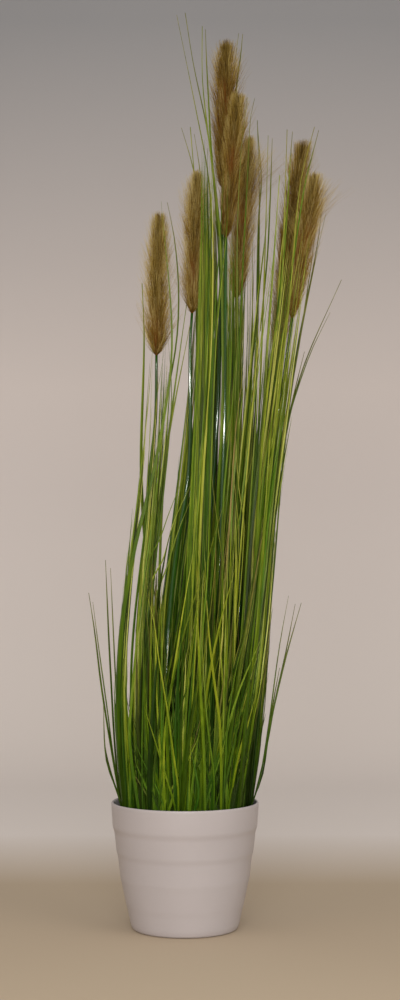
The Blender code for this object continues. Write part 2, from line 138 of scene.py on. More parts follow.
# Lane, number of leaves in the solid, width at the foot and at the top, lowest and highest tip, middle line.
Bunch = namedtuple("Bunch", "lane leaves widths tips line")
BUNCHES = (
    (-48.0, 6, (45, 59), (285, 375), ((-19, FOOT), (-20, 228), (-18, 323), (-17, 375))),
    (-42.0, 6, (46, 58), (304, 417), ((24, FOOT), (30, 227), (37, 323), (43, 417))),
    (-36.0, 6, (29, 18), (640, 760), ((5, FOOT), (12, 274), (18, 418), (22, 513), (27, 684), (25, 760))),
    (-30.0, 6, (33, 24), (560, 715), ((38, FOOT), (53, 274), (64, 418), (74, 515), (88, 640), (96, 715))),
    (-36.0, 5, (22, 20), (520, 690), ((41, FOOT), (65, 274), (74, 399), (86, 485), (97, 590), (112, 690))),
    (-11.0, 6, (33, 20), (430, 585), ((-43, FOOT), (-48, 224), (-44, 302), (-30, 440), (-20, 585))),
    (-10.0, 5, (29, 18), (560, 685), ((18, FOOT), (26, 273), (36, 419), (41, 517), (43, 685))),
    (14.5, 5, (29, 16), (520, 640), ((-25, FOOT), (-19, 272), (-6, 380), (3, 469), (12, 573), (16, 640))),
    (14.5, 5, (27, 18), (430, 575), ((51, FOOT), (59, 180), (67, 272), (73, 371), (78, 469), (87, 575))),
    (30.0, 6, (37, 22), (540, 690), ((27, FOOT), (43, 271), (51, 420), (61, 620), (63, 690))),
    (36.0, 5, (27, 14), (321, 496), ((-33, FOOT), (-42, 270), (-38, 361), (-26, 496))),
    (35.0, 5, (22, 18), (600, 750), ((9, FOOT), (18, 321), (22, 471), (22, 572), (19, 750))),
    (42.0, 6, (39, 43), (280, 437), ((27, FOOT), (49, 270), (62, 361), (70, 437))),
    (48.0, 6, (33, 43), (259, 376), ((-21, FOOT), (-28, 269), (-32, 376))),
)

# How light a bunch is, and how many of its tall blades end low, where it differs from the others. The darker
# tone of bunch 3 is painted shade, for leaves that lie in shade.
BUNCH_TONE_AND_SHADE = {3: 0.2, 12: 0.34, 6: 0.32, 8: 0.32, 7: 0.42}
COMMON_TONE = 0.38
TIP_SPREAD = {3: 0.6, 12: 0.6, 7: 0.6, 4: 2.2, 5: 2.0, 9: 1.5}
COMMON_SPREAD = 1.0

# Thin leaves that grow beside a single one: leaf, width, tone, dryness and points.
HAIRS = (
    (4, 1.6, 0.3, 0.5, ((20, 591), (17, 661), (14, 711), (9, 748), (3, 771), (-4, 794))),
    (4, 1.5, 0.3, 0.5, ((20, 576), (19, 631), (18, 691), (15, 748), (9, 788))),
    (19, 1.6, 0.25, 0.5, ((-27, 467), (-18, 516), (-8, 574), (-6, 624), (-10, 672), (-17, 708))),
    (3, 1.6, 0.25, 0.5, ((33, 674), (29, 718), (25, 766), (23, 805), (21, 843), (20, 874))),
    (5, 1.6, 0.2, 0.6, ((42, 757), (47, 797), (50, 821), (52, 841), (55, 861), (57, 883))),
    (6, 1.5, 0.2, 0.6, ((50, 514), (56, 648), (60, 724), (62, 772), (64, 791), (67, 803))),
    (7, 1.4, 0.3, 0.6, ((72, 623), (74, 705), (77, 746), (75, 777), (73, 805))),
    (8, 1.5, 0.3, 0.6, ((74, 587), (81, 657), (84, 716), (86, 777))),
    (11, 1.5, 0.2, 0.6, ((100, 625), (108, 681), (114, 718), (120, 741), (126, 764))),
    (12, 1.5, 0.25, 0.6, ((87, 578), (92, 634), (96, 681), (98, 718), (101, 761))),
    (15, 1.5, 0.2, 0.7, ((86, 390), (91, 439), (99, 488), (110, 527), (124, 566), (142, 603))),
    (15, 1.5, 0.25, 0.6, ((85, 380), (89, 429), (96, 478), (103, 507), (110, 537), (117, 565))),
    (13, 1.5, 0.25, 0.7, ((88, 410), (94, 469), (102, 518), (108, 552), (113, 579))),
    (14, 1.5, 0.15, 0.5, ((91, 439), (100, 499), (112, 577), (122, 627), (131, 676), (135, 710))),
    (20, 1.5, 0.35, 0.5, ((-60, 126), (-68, 155), (-76, 214), (-84, 273), (-90, 320))),
    (21, 1.5, 0.35, 0.5, ((-58, 120), (-67, 135), (-78, 174), (-79, 194))),
    (22, 1.5, 0.35, 0.6, ((-57, 125), (-64, 164), (-67, 223), (-70, 287), (-73, 353))),
    (23, 1.5, 0.3, 0.6, ((67, 126), (79, 175), (88, 224), (99, 273), (108, 318))),
    (24, 1.5, 0.35, 0.5, ((67, 125), (76, 149), (82, 189), (87, 223), (93, 255))),
)

# Where a stem shows between the leaves before it: stem, lowest and highest point, and width.
WINDOWS = (("3", 415, 556, 13.0), ("4", 455, 556, 11.0), ("5", 312, 360, 9.0), ("2", 330, 590, 8.0))

# Gaps between the groups of leaves: points of the middle of the gap, from low to high, and its width.
GAPS = (
    (((-54, 233), (-51, 272), (-49, 321), (-47, 361), (-43, 392)), 6.0),
    (((-25, 361), (-20, 385), (-14, 430), (-9, 478), (-2, 520)), 9.0),
)
CROSSING_POINTS = 8

# Single blades that stand out: bunch, width, tone, dryness, and points from where they leave their bunch.
STRANDS = (
    (3, 2.6, 0.78, 0.0, ((17, 430), (21, 491), (25, 550), (27, 646), (25, 726))),
    (12, 2.8, 0.25, 0.1, ((29, 441), (27, 582), (24, 663), (20, 764))),
    (12, 2.6, 0.45, 0.1, ((20, 491), (19, 582), (17, 683), (15, 749))),
    (12, 2.6, 0.15, 0.1, ((28, 466), (30, 570), (32, 646), (30, 702))),
    (7, 2.0, 0.14, 0.1, ((36, 468), (38, 575), (38, 653), (36, 687))),
    (12, 2.5, 0.48, 0.1, ((30, 468), (34, 575), (34, 672))),
    (7, 2.8, 0.25, 0.1, ((46, 468), (48, 575), (46, 687))),
    (10, 2.6, 0.58, 0.3, ((51, 470), (55, 580), (58, 660), (61, 695))),
    (10, 2.5, 0.12, 0.1, ((53, 470), (56, 580), (58, 640))),
    (10, 2.1, 0.48, 0.2, ((64, 470), (67, 580), (67, 660), (69, 720))),
    (10, 1.6, 0.15, 0.1, ((69, 470), (72, 580), (73, 630), (72, 700))),
    (4, 1.8, 0.03, 0.0, ((74, 467), (79, 534), (82, 573), (87, 611))),
    (6, 3.0, 0.22, 0.2, ((-31, 341), (-23, 411), (-17, 467), (-13, 522), (-17, 585))),
    (6, 2.8, 0.4, 0.4, ((-34, 361), (-26, 467), (-18, 522), (-18, 550))),
    (6, 2.5, 0.3, 0.2, ((-36, 419), (-28, 513), (-20, 564))),
    (6, 2.5, 0.7, 0.1, ((-33, 337), (-21, 362), (-11, 397), (7, 436), (16, 451))),
    (6, 2.5, 0.62, 0.1, ((-29, 321), (-17, 356), (-7, 388), (11, 432))),
    (6, 2.3, 0.55, 0.1, ((-35, 361), (-25, 380), (-15, 408), (3, 452))),
    (8, 2.6, 0.48, 0.2, ((-5, 400), (-2, 447), (5, 503), (7, 538))),
    (12, 2.6, 0.5, 0.1, ((11, 421), (13, 477), (15, 520), (16, 578))),
    (7, 2.1, 0.63, 0.3, ((31, 380), (35, 445), (41, 481), (50, 532))),
    (4, 2.3, 0.68, 0.0, ((57, 322), (64, 431), (68, 493), (71, 562))),
    (5, 2.3, 0.6, 0.1, ((78, 418), (83, 491), (95, 580), (106, 637), (114, 679))),
    (5, 2.0, 0.48, 0.3, ((78, 408), (83, 457), (92, 512), (104, 573))),
    (5, 2.5, 0.4, 0.1, ((76, 447), (82, 485), (93, 561))),
    (7, 2.1, 0.68, 0.2, ((35, 341), (43, 410), (48, 435))),
    (1, 3.0, 0.78, 0.0, ((-20, 185), (-14, 232), (-3, 304), (9, 373))),
    (1, 2.8, 0.5, 0.2, ((-16, 218), (-7, 266), (0, 294), (18, 352))),
    (2, 3.1, 0.68, 0.1, ((18, 189), (20, 227), (32, 293), (49, 357))),
    (4, 3.0, 0.68, 0.2, ((41, 168), (50, 223), (57, 244), (76, 299))),
    (2, 2.3, 0.5, 0.1, ((41, 208), (50, 263), (61, 300))),
    (2, 3.3, 0.45, 0.1, ((20, 131), (27, 156), (45, 213))),
    (2, 2.8, 0.35, 0.1, ((-1, 131), (12, 164), (31, 207))),
    (1, 3.4, 0.4, 0.1, ((-6, 136), (1, 177), (13, 239))),
    (1, 2.8, 0.63, 0.3, ((-52, 190), (-49, 239), (-44, 294), (-40, 361))),
    (2, 2.5, 0.48, 1.0, ((28, 160), (34, 222), (39, 263))),
    (1, 2.5, 0.58, 0.1, ((13, 136), (10, 160), (5, 186))),
    (1, 5.7, 0.1, 0.0, ((-33, 132), (-32, 180), (-25, 276))),
    (1, 4.9, 0.22, 0.0, ((-2, 132), (1, 170), (13, 257))),
    (2, 4.1, 0.3, 0.0, ((53, 131), (56, 179), (64, 275))),
    (8, 4.0, 0.12, 0.0, ((-5, 200), (-4, 277), (1, 345), (5, 410))),
    (1, 2.6, 0.3, 0.0, ((-8, 210), (-5, 262), (2, 330))),
    (1, 2.4, 0.2, 0.0, ((-4, 190), (-2, 250), (-4, 310))),
    (1, 2.0, 0.8, 0.1, ((-6, 140), (-11, 179), (-17, 223), (-24, 266), (-29, 305), (-36, 332))),
    (1, 1.8, 0.8, 0.1, ((-9, 125), (-17, 153), (-29, 194), (-38, 223))),
    (3, 2.4, 0.3, 0.1, ((20, 250), (30, 330), (36, 395), (41, 440))),
    (3, 2.2, 0.22, 0.1, ((21, 430), (24, 520), (33, 612), (40, 680), (41, 735))),
    (4, 2.4, 0.5, 0.1, ((36, 400), (46, 517), (52, 590))),
    (4, 2.8, 0.5, 4.0, ((40, 361), (43, 400), (46, 449), (50, 498), (57, 545))),
    (4, 2.0, 0.75, 0.1, ((56, 400), (62, 470), (70, 560), (76, 620))),
    (2, 2.0, 0.7, 0.1, ((28, 150), (22, 200), (18, 250), (16, 300))),
    (6, 4.8, 0.05, 0.0, ((-38, 150), (-34, 230), (-29, 300), (-22, 350), (-14, 390))),
    (6, 3.0, 0.25, 0.1, ((-40, 260), (-34, 320), (-31, 365), (-28, 400))),
    (8, 3.2, 0.3, 0.1, ((-33, 180), (-28, 260), (-24, 310), (-16, 360))),
    (3, 2.2, 0.05, 0.1, ((28, 560), (33, 620), (38, 680), (42, 730))),
    (3, 2.6, 0.2, 0.1, ((27, 570), (31, 630), (35, 690), (38, 740))),
    (3, 2.0, 0.4, 0.1, ((30, 565), (37, 640), (43, 700))),
    (4, 1.5, 0.6, 0.8, ((52, 380), (49, 420), (45, 460), (43, 490))),
    (4, 1.4, 0.7, 0.5, ((57, 390), (52, 430), (49, 470), (48, 505))),
    (3, 1.5, 0.55, 0.6, ((36, 350), (32, 390), (27, 430), (25, 460))),
    (4, 1.6, 0.5, 0.2, ((44, 350), (52, 400), (63, 450), (70, 480))),
    (3, 1.6, 0.6, 0.3, ((14, 320), (22, 360), (33, 400), (41, 425))),
)

# The form of a blade. Near its foot it is darker, and closer to the others of its bunch.
BLADE_STEP = 16.0
STRAND_STEP = 7.0
FEWEST_STEPS = 10
BLADE_TAPER = 3.0
BLADE_TIP = 0.06
HAIR_TAPER = 6.0
HAIR_TIP = 0.28
NARROW_FOOT = 0.75
NARROW_LENGTH = 0.12
BLADE_THICKNESS = 0.4
CREASE = 0.45
CLOSE_FOOT = 0.15
CLOSE_HEIGHT = 90.0
FOOT_SHADE = 0.6
SHADE_HEIGHT = 170.0
WANDER_WAVES = (0.6, 1.6)

# The four corners of a blade: place across it, which way the crease moves it, and whether it is at the back.
BLADE_CORNERS = ((-1.0, 1.0, 0.0), (0.0, -1.0, 0.0), (1.0, 1.0, 0.0), (0.0, -1.0, 1.0))

# How far single leaves, blades and strands face aside and twist, and the width below which a leaf ends blunt.
LEAF_TURN = (0.3, 0.5)
BLADE_TURN = (0.8, 0.9)
STRAND_TURN = (0.25, 0.3)
HAIR_WIDTH = 4.0

# How blades fill a bunch: a tall one starts in its turn across it, a short one anywhere, and both lean.
TALL_PER_LEAF = 14
SHORT_PER_LEAF = 11
WINDOW_TRIES = 24
BUNCH_DEPTH = 4.0
BLADE_WIDTHS = (1.2, 4.0)
LINE_POINTS = 5
LINE_BOW = 1.1
TALL_JITTER = 0.02
TALL_LEAN = (0.0, 0.36)
TALL_REACH = 0.56
TALL_THINNESS = 2
SHORT_LEAN = (0.1, 0.65)
SHORT_REACH = 0.7
SHORT_LEAST = 0.3
SHORT_THINNESS = 1.5
TONE_SPREAD = 0.29
DEPTH_SHADE = 0.025
DRYNESS_RARITY = 6
BLADE_WANDER = (0.4, 1.5)

# The strands lie before their bunch, one before the other. A long root has one more point half way up.
STRAND_CLEARANCE = 0.8
STRAND_SPACING = 0.6
LONG_ROOT = 100.0

# The stems: a little flat, and square enough for a narrow gloss.
STEM_RADIUS = 2.9
STEM_TOP_RADIUS = 1.3
STEM_FLATNESS = 0.6
STEM_SQUARENESS = 4
STEM_TAPER = 1.5
STEM_SIDES = 12
STEM_STEPS = 48

# How far a plume's bristles reach from its middle along its length, on a slender and on a full plume, and how
# near its shoulder comes to the reach at the top.
PLUME_SHARES = (0.0, 0.06, 0.14, 0.28, 0.42, 0.6, 0.8, 0.92, 0.98, 1.0)
SLENDER_REACH = (3.0, 5.4, 7.2, 9.6, 12.0, 14.4, 15.6, 15.0, 12.5, 11.0)
FULL_REACH = (3.4, 7.5, 11.5, 15.5, 16.0, 14.6, 13.6, 11.5, 9.0, 8.0)
SHOULDER = 0.6

# Each plume's fullness, width, where its side bristles flare and how far (below zero to the left), how much
# lighter it is, and the reach of its bristles at the top.
PlumeForm = namedtuple("PlumeForm", "full scale flare_share flare lighter top_reach")
PLUME_FORMS = {
    "1": (1.0, 1.04, 0.3, 0.3, 0.14, 7.5),
    "2": (0.4, 1.0, 0.3, -0.5, 0.16, 6.5),
    "3": (0.3, 1.1, 0.9, 0.2, -0.08, 8.5),
    "4": (0.3, 0.92, 0.9, 0.2, -0.02, 8.0),
    "5": (0.25, 1.25, 0.85, 1.1, 0.14, 6.5),
    "6": (0.5, 1.0, 0.5, 0.0, -0.06, 10.0),
    "7": (0.0, 1.0, 0.9, 0.9, 0.08, 8.0),
    "8": (0.5, 1.0, 0.6, -0.2, 0.16, 8.0),
}

# Bristles, and the locks that half of them keep to. Ends and roots are shares of the plume's length.
BRISTLES = 4600
LOCKS = 320
LOOSE_SHARE = 0.52
FRINGE_SHARE = 0.28
STREAK_SHARE = 0.08
LOWEST_LOCK = 0.05
LOCK_SPAN = 1.05
LOCK_RAGGED = 0.02
LOOSE_ENDS = (0.03, 1.09)
BRISTLE_RISE = (26.0, 44.0)
LEAST_RISE = 0.03
HIGHEST_ROOT = 0.86
TOP_TRIM = (-0.02, 0.04)
LEAST_TRIM = 0.05

# Angles around the rib, where the front is at minus a quarter turn, and how a bristle bends on its way out.
LOCK_SPREAD = 0.45
LOCK_CLOSING = 0.8
LOOSE_BEND = 0.3
STREAK_ANGLE = -1.75
STREAK_SPREAD = 0.3
STREAK_BEND = 0.2

# How far bristles of each kind reach, as shares of the plume's own reach.
LOCK_REACH = (0.3, 1.12)
LOCK_SCALE = 0.86
LOCK_UNEVEN = 0.07
LOOSE_REACH = (0.2, 0.9)
FRINGE_REACH = (0.75, 1.5)
STREAK_REACH = (0.5, 0.95)
FLARE_WIDTH = 0.09
LOCK_FLARE = 0.25

# A bristle's thickness, its start at the rib, the curve of its way out, and its rings as place and size.
BRISTLE_THICKNESS = (0.2, 0.34)
FRINGE_THICKNESS = (0.14, 0.26)
BRISTLE_START = 0.8
BRISTLE_CURVE = 0.2
BRISTLE_RINGS = ((0.0, 1.0), (0.5, 0.85), (1.0, 0.4))
BRISTLE_SIDES = 3

# How light bristles are, and how rusty. Rust is strongest low on the rib and near it. On the streak it is at
# a few random places: lowest, highest and how many.
PLUME_TONE = (0.39, 0.15)
LOCK_TONE = 0.26
LOOSE_TONE = 0.08
REACH_TONE = 0.15
REACH_MIDDLE = 0.6
FRINGE_SHADE = 0.2
LOCK_RUST = (0.1, 1.0)
RUST_TOP = 0.85
RUST_FADE = 2.2
RUST_REACH = 1.3
STREAK_RUST = (0.15, 0.75, 2)
STREAK_RUST_WIDTH = 0.12
STREAK_ALONG = 0.5

# The rib: top, rings, sides, radius at the foot and at the top, tone and rust.
RIB_TOP = 0.9
RIB_RINGS = 12
RIB_SIDES = 8
RIB_RADII = (1.3, 0.6)
RIB_TONE = 0.1
RIB_RUST = 0.8

# How far a plume reaches down over its stem, and where the seeds of the random draws start.
PLUME_OVERLAP = 1.0
PLUME_SEED = 100
BUNCH_SEED = 40

# Screen colours from 0 to 255, each with its place on a ramp.
BLACK = (0, 0, 0)
WHITE = (255, 255, 255)
WARM_LEAF = (
    (0.0, (30, 46, 1)), (0.28, (58, 86, 4)), (0.5, (94, 118, 10)),
    (0.75, (142, 154, 34)), (1.0, (190, 192, 90)),
)
COOL_LEAF = (
    (0.0, (14, 38, 6)), (0.28, (30, 76, 14)), (0.5, (58, 108, 24)),
    (0.75, (106, 144, 56)), (1.0, (172, 188, 112)),
)
DRY_LEAF = ((0.3, (104, 88, 40)), (0.7, (164, 142, 82)))

# How few blades are cool green and how much, how near the tip a dry one is tan, its ribs, and its gloss.
COOL_RARITY = 2.5
COOL_SHARE = 0.75
TIP_DRYNESS = 3.0
LEAF_RIBS = 22.0
RIB_HEIGHT = 0.3
LEAF_GLINT = (0.95, 1.0, 0.75, 1.0)

# Colours of the stems, plumes, pot, filler and backdrop.
STEM_GREEN = ((0.3, (14, 50, 4)), (0.7, (34, 82, 8)))
STEM_STREAK = (60, 88, 22)
PLUME_TAN = ((0.0, (60, 38, 4)), (0.35, (112, 86, 18)), (0.65, (162, 136, 58)), (1.0, (212, 192, 124)))
PLUME_RUST = (150, 72, 14)
POT_WHITE = ((0.3, (170, 165, 168)), (0.7, (178, 173, 176)))
POT_SCUFF = (160, 150, 143)
FILLER_DARK = ((0.25, (18, 15, 11)), (0.75, (60, 50, 36)))
# The wall's colours paint light and shade on it: lightest at its foot and darker grey higher up, as the light
# falls off.
WALL_FOOT = ((0.2, (235, 228, 224)), (0.8, (239, 232, 228)))
WALL_LOW = ((0.2, (224, 217, 215)), (0.8, (228, 221, 219)))
WALL_HIGH_PAINTED_SHADE = ((0.2, (160, 162, 167)), (0.8, (165, 167, 172)))
FLOOR_TAN = ((0.2, (188, 171, 148)), (0.8, (193, 176, 153)))

# Where one colour of the backdrop fades into the next, in metres. The rise into the painted shade is scaled
# to fit its ramp.
WALL_START = (0.05, 0.5)
PAINTED_SHADE_SCALE = 0.6
PAINTED_SHADE_RISE = (0.43, 0.89)
FLOOR_TO_WALL = (0.24, 0.6)

# The wall's lead-in rises out of the floor: how far before the wall's curve, and how high.
WALL_BACK = 2.0
WALL_CURVE = 0.9
WALL_CURVE_STEPS = 16
WALL_TOP = 4.4
WALL_HALF_WIDTH = 1.2
WALL_LEAD_IN = ((0.6, -0.0005), (0.54, 0.0003), (0.0, 0.0003))
FLOOR_REACH = 4.5

# Name, place, what it faces, width and height, power and colour of each light.
LIGHTS = (
    ("front", (-0.4, -2.4, 0.9), (0.0, 0.0, 0.4), (1.5, 1.5), 10.0, (1.0, 0.98, 0.96)),
    ("strip", (0.0, -1.9, 0.73), (0.0, 0.0, 0.5), (0.9, 0.012), 12.5, (1.0, 0.99, 0.97)),
    ("side", (1.6, -1.4, 0.6), (0.0, 0.0, 0.4), (1.4, 1.4), 13.0, (1.0, 0.88, 0.76)),
    ("warm", (-1.5, -1.3, 0.4), (0.0, 0.0, 0.3), (1.2, 1.2), 8.0, (1.0, 0.8, 0.62)),
    ("top", (0.0, 0.1, 2.4), (0.0, 0.2, 0.2), (2.2, 1.4), 8.0, (1.0, 0.97, 0.93)),
    ("low_strip", (0.0, -1.85, 0.33), (0.0, 0.0, 0.35), (0.5, 0.014), 3.2, (1.0, 1.0, 1.0)),
)
SKY_COLOUR = (1.0, 0.93, 0.86, 1.0)
SKY_STRENGTH = 0.36

CAMERA_PLACE = (0.0147, -1.776, 0.362)
CAMERA_SENSOR = 36.0
CAMERA_LENS = 65.2
CAMERA_SHIFT = 0.059


def blend(a, b, share):
    return a + (b - a) * share


def clamp(value, low, high):
    return min(high, max(low, value))


def share_between(value, low, high):
    return np.clip((value - low) / (high - low), 0.0, 1.0)


def around(sides):
    return np.arange(sides) / sides * math.tau


def flat_ring(angle, radius=1.0):
    """Level points around the origin, at these angles and this far out."""
    return np.stack([np.cos(angle) * radius, np.sin(angle) * radius, 0.0 * angle], axis=-1)


def curve_at(points, z):
    """The X of a smooth line through (x, z) points at the heights z."""
    points = np.array(points, float)
    xs, zs = points[:, 0], points[:, 1]
    z = np.clip(z, zs[0], zs[-1])
    before = np.maximum(np.arange(len(xs)) - 1, 0)
    after = np.minimum(np.arange(len(xs)) + 1, len(xs) - 1)
    slopes = (xs[after] - xs[before]) / (zs[after] - zs[before])
    i = np.clip(np.searchsorted(zs, z) - 1, 0, len(xs) - 2)
    run = zs[i + 1] - zs[i]
    t = (z - zs[i]) / run
    start = xs[i] * (2 * t**3 - 3 * t**2 + 1) + slopes[i] * run * (t**3 - 2 * t**2 + t)
    return start + xs[i + 1] * (3 * t**2 - 2 * t**3) + slopes[i + 1] * run * (t**3 - t**2)


def settle(x, lane, z):
    """Points of a lane, moved to where the lane runs, as in the solids: rows of x, y, z in metres."""
    x, lane, z = np.broadcast_arrays(np.asarray(x, float), np.asarray(lane, float), np.asarray(z, float))
    height = np.maximum(0.0, (z - FOOT) / (GRASS_TOP - FOOT))
    outer = np.maximum(0.0, np.abs(lane) - UPRIGHT_LANE) / (OUTER_LANE - UPRIGHT_LANE)
    fan = FAN_REACH * outer**2 * (height / FAN_HEIGHT) ** FAN_CURVE
    calm = blend(1.0, SWAY_CALM_SHARE, share_between(z, SWAY_GROWN, SWAY_CALM))
    grown = share_between(z, FOOT, SWAY_GROWN)
    rise = grown * grown * (3.0 - 2.0 * grown) * calm
    sway = SWAY * rise * np.sin(x / SWAY_WIDTH + z / SWAY_HEIGHT)
    return np.stack([x, lane + np.copysign(fan, lane) + sway, z], axis=-1) * MM


def link(obj):
    bpy.context.scene.collection.objects.link(obj)
    return obj


class Shape:
    """A mesh that is put together from many small forms, with a few values at each point."""

    def __init__(self):
        self.points = []
        self.faces = []
        self.values = {}
        self.total = 0

    def add(self, points, faces, **values):
        points = np.asarray(points, float).reshape(-1, 3)
        self.points.append(points)
        self.faces += [tuple(i + self.total for i in face) for face in faces]
        for name, value in values.items():
            value = np.broadcast_to(np.asarray(value, float), (len(points),))
            self.values.setdefault(name, []).append(value)
        self.total += len(points)

    def crease(self, mesh):
        """Keeps the edges along a blade's corners sharp."""
        corner = np.concatenate(self.values["side"])
        ends = np.zeros(len(mesh.edges) * 2, np.int32)
        mesh.edges.foreach_get("vertices", ends)
        ends = ends.reshape(-1, 2)
        layer = mesh.attributes.new("sharp_edge", "BOOLEAN", "EDGE")
        layer.data.foreach_set("value", corner[ends[:, 0]] == corner[ends[:, 1]])

    def piece(self, name, material):
        mesh = bpy.data.meshes.new(name)
        mesh.from_pydata(np.concatenate(self.points).tolist(), [], self.faces)
        for key, parts in self.values.items():
            layer = mesh.attributes.new(key, "FLOAT", "POINT")
            layer.data.foreach_set("value", np.concatenate(parts).astype(np.float32))
        mesh.polygons.foreach_set("use_smooth", [True] * len(mesh.polygons))
        if "side" in self.values:
            self.crease(mesh)
        mesh.materials.append(material)
        mesh.update()
        return link(bpy.data.objects.new(name, mesh))


def tube_faces(rings, sides, capped=True):
    faces = []
    for ring in range(rings - 1):
        low, high = ring * sides, (ring + 1) * sides
        for side in range(sides):
            after = (side + 1) % sides
            faces.append((low + side, low + after, high + after, high + side))
    if capped:
        faces.append(tuple(reversed(range(sides))))
        faces.append(tuple(range((rings - 1) * sides, rings * sides)))
    return faces


def random_turn(spread, dice):
    return [dice.gauss(0.0, amount) for amount in spread]


def blade_points(x, z, lane, away, half, thick, turn):
    """Four points around a blade at each height: its edges, and the front and the back of its crease."""
    lean = np.gradient(x, z)
    rings = []
    for across, fold, back in BLADE_CORNERS:
        a = across * half
        b = fold * CREASE * half + back * thick
        u = a * np.cos(turn) - b * np.sin(turn)
        v = a * np.sin(turn) + b * np.cos(turn)
        ring = settle(x + u / np.hypot(1.0, lean), lane, z - u * lean / np.hypot(1.0, lean))
        ring[:, 1] += (away + v) * MM
        rings.append(ring)
    return np.stack(rings, axis=1)


def blade_taper(share, hair):
    """How wide a blade is along its length. A hair keeps its width, and ends without a point."""
    if hair:
        return np.maximum(1.0 - share**HAIR_TAPER, HAIR_TIP)
    return np.maximum(1.0 - share**BLADE_TAPER, BLADE_TIP)


def add_blade(
    shape, line, lane, depth, width, dice, tone, dry, facing, twist, wander=0.0, hair=False, step=BLADE_STEP
):
    """A long leaf with a crease down its middle: thin, pointed, and turned about its own length."""
    low, high = line[0][1], line[-1][1]
    steps = max(FEWEST_STEPS, round((high - low) / step))
    share = np.arange(steps + 1) / steps
    z = blend(low, high, share)
    waves = dice.uniform(*WANDER_WAVES)
    start = dice.uniform(0.0, math.tau)
    x = curve_at(line, z) + wander * share * np.sin(start + share * waves * math.tau)
    taper = blade_taper(share, hair)
    half = 0.5 * width * taper * blend(NARROW_FOOT, 1.0, np.minimum(1.0, share / NARROW_LENGTH))
    away = depth * np.clip((z - FOOT) / CLOSE_HEIGHT, CLOSE_FOOT, 1.0)
    thick = BLADE_THICKNESS * np.sqrt(taper)
    tone = tone * blend(FOOT_SHADE, 1.0, np.clip((z - FOOT) / SHADE_HEIGHT, 0.0, 1.0))
    corners = len(BLADE_CORNERS)
    shape.add(
        blade_points(x, z, lane, away, half, thick, facing + twist * share),
        tube_faces(steps + 1, corners),
        tone=np.repeat(tone, corners),
        dry=dry,
        cool=dice.random(),
        along=np.repeat(share, corners),
        across=np.tile([across for across, _, _ in BLADE_CORNERS], steps + 1),
        side=np.tile(range(corners), steps + 1),
    )


def across_bunch(bunch, place, z):
    """The X at a place across a bunch, from -0.5 at its left side to 0.5 at its right, at height z."""
    width = blend(*bunch.widths, min(1.0, (z - FOOT) / (bunch.tips[1] - FOOT)))
    return float(curve_at(bunch.line, np.array(z))) + width * place


def rooted(bunch, points):
    """A blade's points with its foot added, at the place across the bunch where the blade leaves it."""
    x, z = points[0]
    middle, edge = across_bunch(bunch, 0.0, z), across_bunch(bunch, 0.5, z)
    place = clamp(0.5 * (x - middle) / (edge - middle), -0.5, 0.5)
    foot = ((across_bunch(bunch, place, FOOT), FOOT),)
    half_way = blend(FOOT, z, 0.5)
    if z - FOOT > LONG_ROOT:
        foot += ((across_bunch(bunch, place, half_way), half_way),)
    return foot + points


def crosses(points, line, low, high, width):
    """Whether a blade comes within half a width of a line, between two heights."""
    z = np.linspace(low, high, CROSSING_POINTS)
    return bool(np.any(np.abs(curve_at(points, z) - curve_at(line, z)) < width / 2))


def covers_window(depth, points):
    """Whether a blade would hide a stem where it shows."""
    for label, low, high, width in WINDOWS:
        stem_lane, stem_line = next(row[1:3] for row in PLUMES if row[0] == label)
        before = depth <= stem_lane and points[-1][1] >= low
        if before and crosses(points, stem_line, low, high, width):
            return True
    return False


def fills_gap(points):
    """Whether a blade would stand in a gap between two groups of leaves."""
    top = points[-1][1]
    for line, width in GAPS:
        low, high = line[0][1], line[-1][1]
        if top >= low and crosses(points, line, low, min(high, top), width):
            return True
    return False


def blade_line(bunch, turn, spread, dice):
    """The points and the width of one blade: tall and in its turn across the bunch, or short and leaning."""
    if turn < 1.0:
        start = turn + dice.uniform(-TALL_JITTER, TALL_JITTER) - 0.5
        end = clamp(start + dice.gauss(*TALL_LEAN), -TALL_REACH, TALL_REACH)
        top = blend(*bunch.tips, dice.random() ** spread) if turn else bunch.tips[1]
        width = blend(*BLADE_WIDTHS, dice.random() ** TALL_THINNESS)
    else:
        start = dice.uniform(-0.5, 0.5)
        end = clamp(start + dice.gauss(*SHORT_LEAN), -SHORT_REACH, SHORT_REACH)
        top = blend(FOOT, bunch.tips[0], dice.uniform(SHORT_LEAST, 1.0))
        width = blend(*BLADE_WIDTHS, dice.random() ** SHORT_THINNESS)
    points = []
    for share in np.linspace(0.0, 1.0, LINE_POINTS).tolist():
        z = blend(FOOT, top, share)
        points.append((across_bunch(bunch, blend(start, end, share**LINE_BOW), z), z))
    return points, width


def free_blade(bunch, depth, turn, spread, dice):
    """The first blade of a few tries that leaves the windows and the gaps open, or None."""
    for _ in range(WINDOW_TRIES):
        points, width = blade_line(bunch, turn, spread, dice)
        if not covers_window(bunch.lane + depth, points) and not fills_gap(points):
            return points, width
    return None


def fill_bunch(shape, bunch, middle_tone, spread, dice):
    """The blades of one bunch: each starts at its own place across the foot and leans its own way."""
    tall = bunch.leaves * TALL_PER_LEAF
    blades = tall + bunch.leaves * SHORT_PER_LEAF
    order = list(range(blades))
    dice.shuffle(order)
    for number, layer in enumerate(order):
        depth = BUNCH_DEPTH * (2.0 * (layer + 0.5) / blades - 1.0)
        blade = free_blade(bunch, depth, number / tall, spread, dice)
        if blade is None:
            continue
        points, width = blade
        tone = clamp(dice.gauss(middle_tone, TONE_SPREAD) - DEPTH_SHADE * depth, 0.0, 1.0)
        dry = dice.random() ** DRYNESS_RARITY
        facing, twist = random_turn(BLADE_TURN, dice)
        wander = dice.uniform(*BLADE_WANDER)
        add_blade(shape, points, bunch.lane, depth, width, dice, tone, dry, facing, twist, wander)


